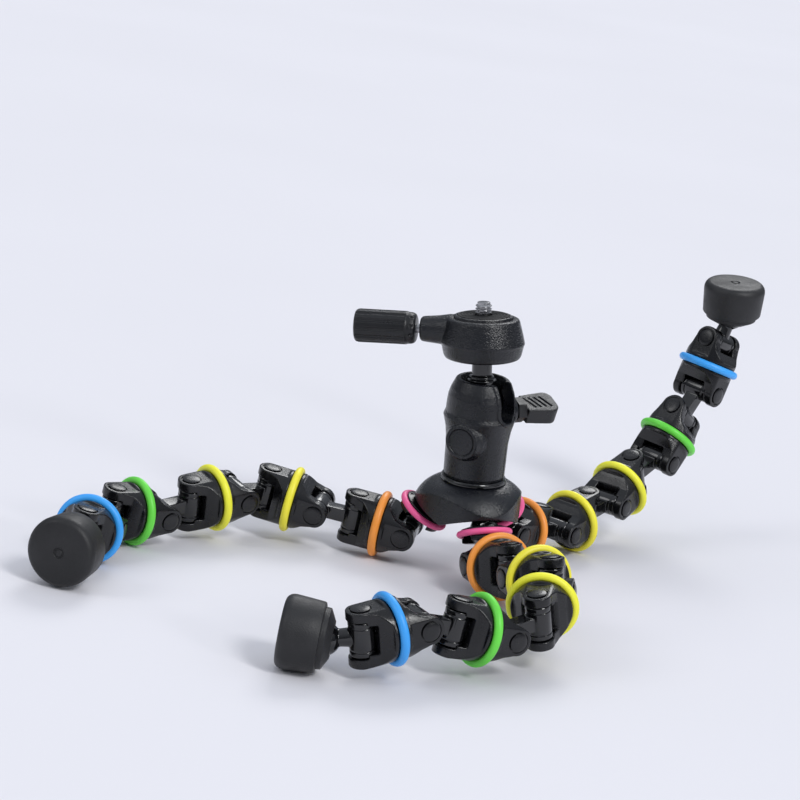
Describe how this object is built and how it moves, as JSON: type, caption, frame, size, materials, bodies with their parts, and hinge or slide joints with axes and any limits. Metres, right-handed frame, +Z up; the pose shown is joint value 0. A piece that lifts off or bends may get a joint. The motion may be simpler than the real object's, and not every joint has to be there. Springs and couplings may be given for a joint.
{
  "type": "phone tripod",
  "caption": "Small bendable tripod: jointed plastic legs with coloured rubber rings and rubber feet, a ball head with a lock knob, and a clamped platform with a mounting screw.",
  "frame": {"origin": "on the surface that it stands on, under the middle of the whole part's bounding box", "axes": "+Z up, the left leg towards -X, the front leg towards -Y and then -X, the right leg back towards +X and +Y and raised"},
  "size_m": [0.2712, 0.2932, 0.1123],
  "materials": {
    "shell_plastic": "satin",
    "leg_plastic": "satin",
    "gloss_black": "gloss",
    "platform_paint": "satin",
    "knob_plastic": "satin",
    "foot_rubber": "matte",
    "ring_orange": "satin",
    "ring_yellow": "satin",
    "ring_lemon": "satin",
    "ring_green": "satin",
    "ring_blue": "satin"
  },
  "bodies": {
    "hub": {"hub_shell": "shell_plastic", "ball_housing": "shell_plastic"},
    "left_root": {"left_root": "leg_plastic"},
    "left_connector_0": {"left_connector_0": "gloss_black"},
    "left_link_1": {"left_link_1": "leg_plastic", "left_ring_1": "ring_orange"},
    "left_connector_1": {"left_connector_1": "gloss_black"},
    "left_link_2": {"left_link_2": "leg_plastic", "left_ring_2": "ring_yellow"},
    "left_connector_2": {"left_connector_2": "gloss_black"},
    "left_link_3": {"left_link_3": "leg_plastic", "left_ring_3": "ring_lemon"},
    "left_connector_3": {"left_connector_3": "gloss_black"},
    "left_link_4": {"left_link_4": "leg_plastic", "left_ring_4": "ring_green"},
    "left_connector_4": {"left_connector_4": "gloss_black"},
    "left_link_5": {"left_link_5": "leg_plastic", "left_ring_5": "ring_blue"},
    "left_foot_stem": {"left_foot_stem": "gloss_black"},
    "left_foot_cap": {"left_foot_cap": "foot_rubber"},
    "front_root": {"front_root": "leg_plastic"},
    "front_connector_0": {"front_connector_0": "gloss_black"},
    "front_link_1": {"front_link_1": "leg_plastic", "front_ring_1": "ring_orange"},
    "front_connector_1": {"front_connector_1": "gloss_black"},
    "front_link_2": {"front_link_2": "leg_plastic", "front_ring_2": "ring_yellow"},
    "front_connector_2": {"front_connector_2": "gloss_black"},
    "front_link_3": {"front_link_3": "leg_plastic", "front_ring_3": "ring_lemon"},
    "front_connector_3": {"front_connector_3": "gloss_black"},
    "front_link_4": {"front_link_4": "leg_plastic", "front_ring_4": "ring_green"},
    "front_connector_4": {"front_connector_4": "gloss_black"},
    "front_link_5": {"front_link_5": "leg_plastic", "front_ring_5": "ring_blue"},
    "front_foot_stem": {"front_foot_stem": "gloss_black"},
    "front_foot_cap": {"front_foot_cap": "foot_rubber"},
    "right_root": {"right_root": "leg_plastic"},
    "right_connector_0": {"right_connector_0": "gloss_black"},
    "right_link_1": {"right_link_1": "leg_plastic", "right_ring_1": "ring_orange"},
    "right_connector_1": {"right_connector_1": "gloss_black"},
    "right_link_2": {"right_link_2": "leg_plastic", "right_ring_2": "ring_yellow"},
    "right_connector_2": {"right_connector_2": "gloss_black"},
    "right_link_3": {"right_link_3": "leg_plastic", "right_ring_3": "ring_lemon"},
    "right_connector_3": {"right_connector_3": "gloss_black"},
    "right_link_4": {"right_link_4": "leg_plastic", "right_ring_4": "ring_green"},
    "right_connector_4": {"right_connector_4": "gloss_black"},
    "right_link_5": {"right_link_5": "leg_plastic", "right_ring_5": "ring_blue"},
    "right_foot_stem": {"right_foot_stem": "gloss_black"},
    "right_foot_cap": {"right_foot_cap": "foot_rubber"},
    "ball_stem": {"ball_stem": "gloss_black"},
    "platform": {"platform": "platform_paint"},
    "lock_knob": {"lock_knob": "knob_plastic"},
    "clamp_knob": {"clamp_knob": "knob_plastic"}
  },
  "joints": [
    {"name": "left_root_tilt", "type": "hinge", "parent": "hub", "child": "left_root", "pos_m": [0.0098, 0.01206, 0.03223], "axis": [0.1495, 0.9865, 0.0672], "range_deg": [-21, 0]},
    {"name": "left_swing_0", "type": "hinge", "parent": "left_root", "child": "left_connector_0", "pos_m": [0.00442, 0.01351, 0.02298], "axis": [-0.854, 0.0945, 0.5117], "range_deg": [-24, 28]},
    {"name": "left_nod_1", "type": "hinge", "parent": "left_connector_0", "child": "left_link_1", "pos_m": [-0.00149, 0.01552, 0.01274], "axis": [-0.1668, -0.9812, -0.0971], "range_deg": [-7.5, 108]},
    {"name": "left_swing_1", "type": "hinge", "parent": "left_link_1", "child": "left_connector_1", "pos_m": [-0.02236, 0.01891, 0.01437], "axis": [0.0601, -0.1084, 0.9923], "range_deg": [-77, 31]},
    {"name": "left_nod_2", "type": "hinge", "parent": "left_connector_1", "child": "left_link_2", "pos_m": [-0.03723, 0.02053, 0.01545], "axis": [0.115, 0.9882, 0.101], "range_deg": [-77, 71]},
    {"name": "left_swing_2", "type": "hinge", "parent": "left_link_2", "child": "left_connector_2", "pos_m": [-0.05816, 0.0227, 0.01807], "axis": [-0.1119, 0.1139, -0.9872], "range_deg": [-28, 120]},
    {"name": "left_nod_3", "type": "hinge", "parent": "left_connector_2", "child": "left_link_3", "pos_m": [-0.06968, 0.0131, 0.01827], "axis": [0.6301, -0.76, -0.1591], "range_deg": [-83.5, 64.5]},
    {"name": "left_swing_3", "type": "hinge", "parent": "left_link_3", "child": "left_connector_3", "pos_m": [-0.08614, 0.00012, 0.01509], "axis": [0.0165, 0.2179, -0.9758], "range_deg": [-72, 76]},
    {"name": "left_nod_4", "type": "hinge", "parent": "left_connector_3", "child": "left_link_4", "pos_m": [-0.09745, -0.00945, 0.01276], "axis": [-0.6568, 0.7382, 0.1538], "range_deg": [-85.5, 62.5]},
    {"name": "left_swing_4", "type": "hinge", "parent": "left_link_4", "child": "left_connector_4", "pos_m": [-0.11318, -0.02364, 0.01366], "axis": [-0.1341, 0.0863, -0.9872], "range_deg": [-36, 112]},
    {"name": "left_nod_5", "type": "hinge", "parent": "left_connector_4", "child": "left_link_5", "pos_m": [-0.11589, -0.03836, 0.01274], "axis": [-0.9744, 0.1698, 0.1472], "range_deg": [-80, 68]},
    {"name": "left_swing_5", "type": "hinge", "parent": "left_link_5", "child": "left_foot_stem", "pos_m": [-0.11939, -0.05925, 0.01364], "axis": [0.1523, 0.0168, 0.9882], "range_deg": [-81, 59]},
    {"name": "left_foot_tilt", "type": "hinge", "parent": "left_foot_stem", "child": "left_foot_cap", "pos_m": [-0.11908, -0.07225, 0.01381], "axis": [0.9541, -0.2549, -0.1573], "range_deg": [-31, 24]},
    {"name": "front_root_tilt", "type": "hinge", "parent": "hub", "child": "front_root", "pos_m": [0.02602, -0.00094, 0.03237], "axis": [0.9297, 0.361, 0.0735], "range_deg": [-5, 15]},
    {"name": "front_swing_0", "type": "hinge", "parent": "front_root", "child": "front_connector_0", "pos_m": [0.02834, -0.00493, 0.0226], "axis": [0.2992, -0.8562, 0.4211], "range_deg": [-14, 6]},
    {"name": "front_nod_1", "type": "hinge", "parent": "front_connector_0", "child": "front_link_1", "pos_m": [0.03169, -0.00905, 0.01184], "axis": [-0.9124, -0.3859, -0.1364], "range_deg": [-120, 2]},
    {"name": "front_swing_1", "type": "hinge", "parent": "front_link_1", "child": "front_connector_1", "pos_m": [0.03928, -0.02843, 0.01591], "axis": [-0.1986, 0.1261, 0.9719], "range_deg": [-76, 72]},
    {"name": "front_nod_2", "type": "hinge", "parent": "front_connector_1", "child": "front_link_2", "pos_m": [0.04512, -0.04193, 0.01885], "axis": [0.8994, 0.4175, 0.1296], "range_deg": [-75.5, 72.5]},
    {"name": "front_swing_2", "type": "hinge", "parent": "front_link_2", "child": "front_connector_2", "pos_m": [0.05348, -0.06107, 0.02247], "axis": [-0.1884, 0.1025, 0.9767], "range_deg": [-41, 107]},
    {"name": "front_nod_3", "type": "hinge", "parent": "front_connector_2", "child": "front_link_3", "pos_m": [0.0511, -0.07583, 0.02356], "axis": [-0.9692, 0.1416, -0.2018], "range_deg": [-58.5, 89.5]},
    {"name": "front_swing_3", "type": "hinge", "parent": "front_link_3", "child": "front_connector_3", "pos_m": [0.04892, -0.09653, 0.01951], "axis": [0.224, 0.1644, -0.9606], "range_deg": [-124, 24]},
    {"name": "front_nod_4", "type": "hinge", "parent": "front_connector_3", "child": "front_link_4", "pos_m": [0.03679, -0.10432, 0.01535], "axis": [0.5442, -0.8388, -0.0166], "range_deg": [-49.5, 98.5]},
    {"name": "front_swing_4", "type": "hinge", "parent": "front_link_4", "child": "front_connector_4", "pos_m": [0.01923, -0.11577, 0.01845], "axis": [0.1315, 0.0657, 0.9891], "range_deg": [-71, 77]},
    {"name": "front_nod_5", "type": "hinge", "parent": "front_connector_4", "child": "front_link_5", "pos_m": [0.00639, -0.12321, 0.02065], "axis": [-0.5001, 0.8659, 0.009], "range_deg": [-52, 96]},
    {"name": "front_swing_5", "type": "hinge", "parent": "front_link_5", "child": "front_foot_stem", "pos_m": [-0.01148, -0.13348, 0.01568], "axis": [-0.1988, -0.1248, 0.9721], "range_deg": [-42, 98]},
    {"name": "front_foot_tilt", "type": "hinge", "parent": "front_foot_stem", "child": "front_foot_cap", "pos_m": [-0.02421, -0.13375, 0.01304], "axis": [-0.0414, -0.9925, -0.1154], "range_deg": [-16, 42]},
    {"name": "right_root_tilt", "type": "hinge", "parent": "hub", "child": "right_root", "pos_m": [0.02913, 0.01956, 0.03376], "axis": [-0.7802, 0.6255, -0.0063], "range_deg": [0, 19]},
    {"name": "right_swing_0", "type": "hinge", "parent": "right_root", "child": "right_connector_0", "pos_m": [0.03311, 0.02444, 0.02499], "axis": [0.5053, 0.6362, 0.583], "range_deg": [-27, 25]},
    {"name": "right_nod_1", "type": "hinge", "parent": "right_connector_0", "child": "right_link_1", "pos_m": [0.03737, 0.02999, 0.01524], "axis": [0.7865, -0.6175, -0.0079], "range_deg": [-92, 23.5]},
    {"name": "right_swing_1", "type": "hinge", "parent": "right_link_1", "child": "right_connector_1", "pos_m": [0.05035, 0.04656, 0.01271], "axis": [-0.0797, -0.0888, -0.9929], "range_deg": [-72, 76]},
    {"name": "right_nod_2", "type": "hinge", "parent": "right_connector_1", "child": "right_link_2", "pos_m": [0.05912, 0.0586, 0.01093], "axis": [-0.8074, 0.5899, 0.012], "range_deg": [-56, 92]},
    {"name": "right_swing_2", "type": "hinge", "parent": "right_link_2", "child": "right_connector_2", "pos_m": [0.07143, 0.07536, 0.01504], "axis": [-0.1049, -0.1635, 0.9809], "range_deg": [-76, 72]},
    {"name": "right_nod_3", "type": "hinge", "parent": "right_connector_2", "child": "right_link_3", "pos_m": [0.07971, 0.08753, 0.01796], "axis": [0.8272, -0.5619, -0.0053], "range_deg": [-89, 59]},
    {"name": "right_swing_3", "type": "hinge", "parent": "right_link_3", "child": "right_connector_3", "pos_m": [0.09044, 0.10323, 0.02732], "axis": [0.2442, 0.3678, -0.8973], "range_deg": [-80, 68]},
    {"name": "right_nod_4", "type": "hinge", "parent": "right_connector_3", "child": "right_link_4", "pos_m": [0.09928, 0.1134, 0.03389], "axis": [-0.7697, 0.6363, 0.0514], "range_deg": [-46, 102]},
    {"name": "right_swing_4", "type": "hinge", "parent": "right_link_4", "child": "right_connector_4", "pos_m": [0.10789, 0.12244, 0.05103], "axis": [-0.4925, -0.6431, 0.5864], "range_deg": [-73, 75]},
    {"name": "right_nod_5", "type": "hinge", "parent": "right_connector_4", "child": "right_link_5", "pos_m": [0.11419, 0.12866, 0.06314], "axis": [-0.7625, 0.6436, 0.0655], "range_deg": [-55, 93]},
    {"name": "right_swing_5", "type": "hinge", "parent": "right_link_5", "child": "right_foot_stem", "pos_m": [0.1192, 0.13254, 0.08338], "axis": [-0.6022, -0.7432, 0.2916], "range_deg": [-66, 74]},
    {"name": "right_foot_tilt", "type": "hinge", "parent": "right_foot_stem", "child": "right_foot_cap", "pos_m": [0.12295, 0.13433, 0.09569], "axis": [-0.742, 0.6688, 0.0458], "range_deg": [-3, 53]},
    {"name": "ball_tilt", "type": "hinge", "parent": "hub", "child": "ball_stem", "pos_m": [0.01953, 0.00797, 0.07066], "axis": [0.5842, 0.8076, 0.0809], "range_deg": [-9.5, 25]},
    {"name": "platform_pan", "type": "hinge", "parent": "ball_stem", "child": "platform", "pos_m": [0.01745, 0.00814, 0.08713], "axis": [-0.1253, 0.0103, 0.9921], "continuous": true},
    {"name": "clamp_turn", "type": "hinge", "parent": "platform", "child": "clamp_knob", "pos_m": [-0.00764, 0.0116, 0.09451], "axis": [-0.9824, 0.1385, -0.1255], "continuous": true},
    {"name": "lock_turn", "type": "hinge", "parent": "hub", "child": "lock_knob", "pos_m": [0.03239, 0.01553, 0.06722], "axis": [0.863, 0.4991, 0.078], "range_deg": [-90, 90]}
  ]
}
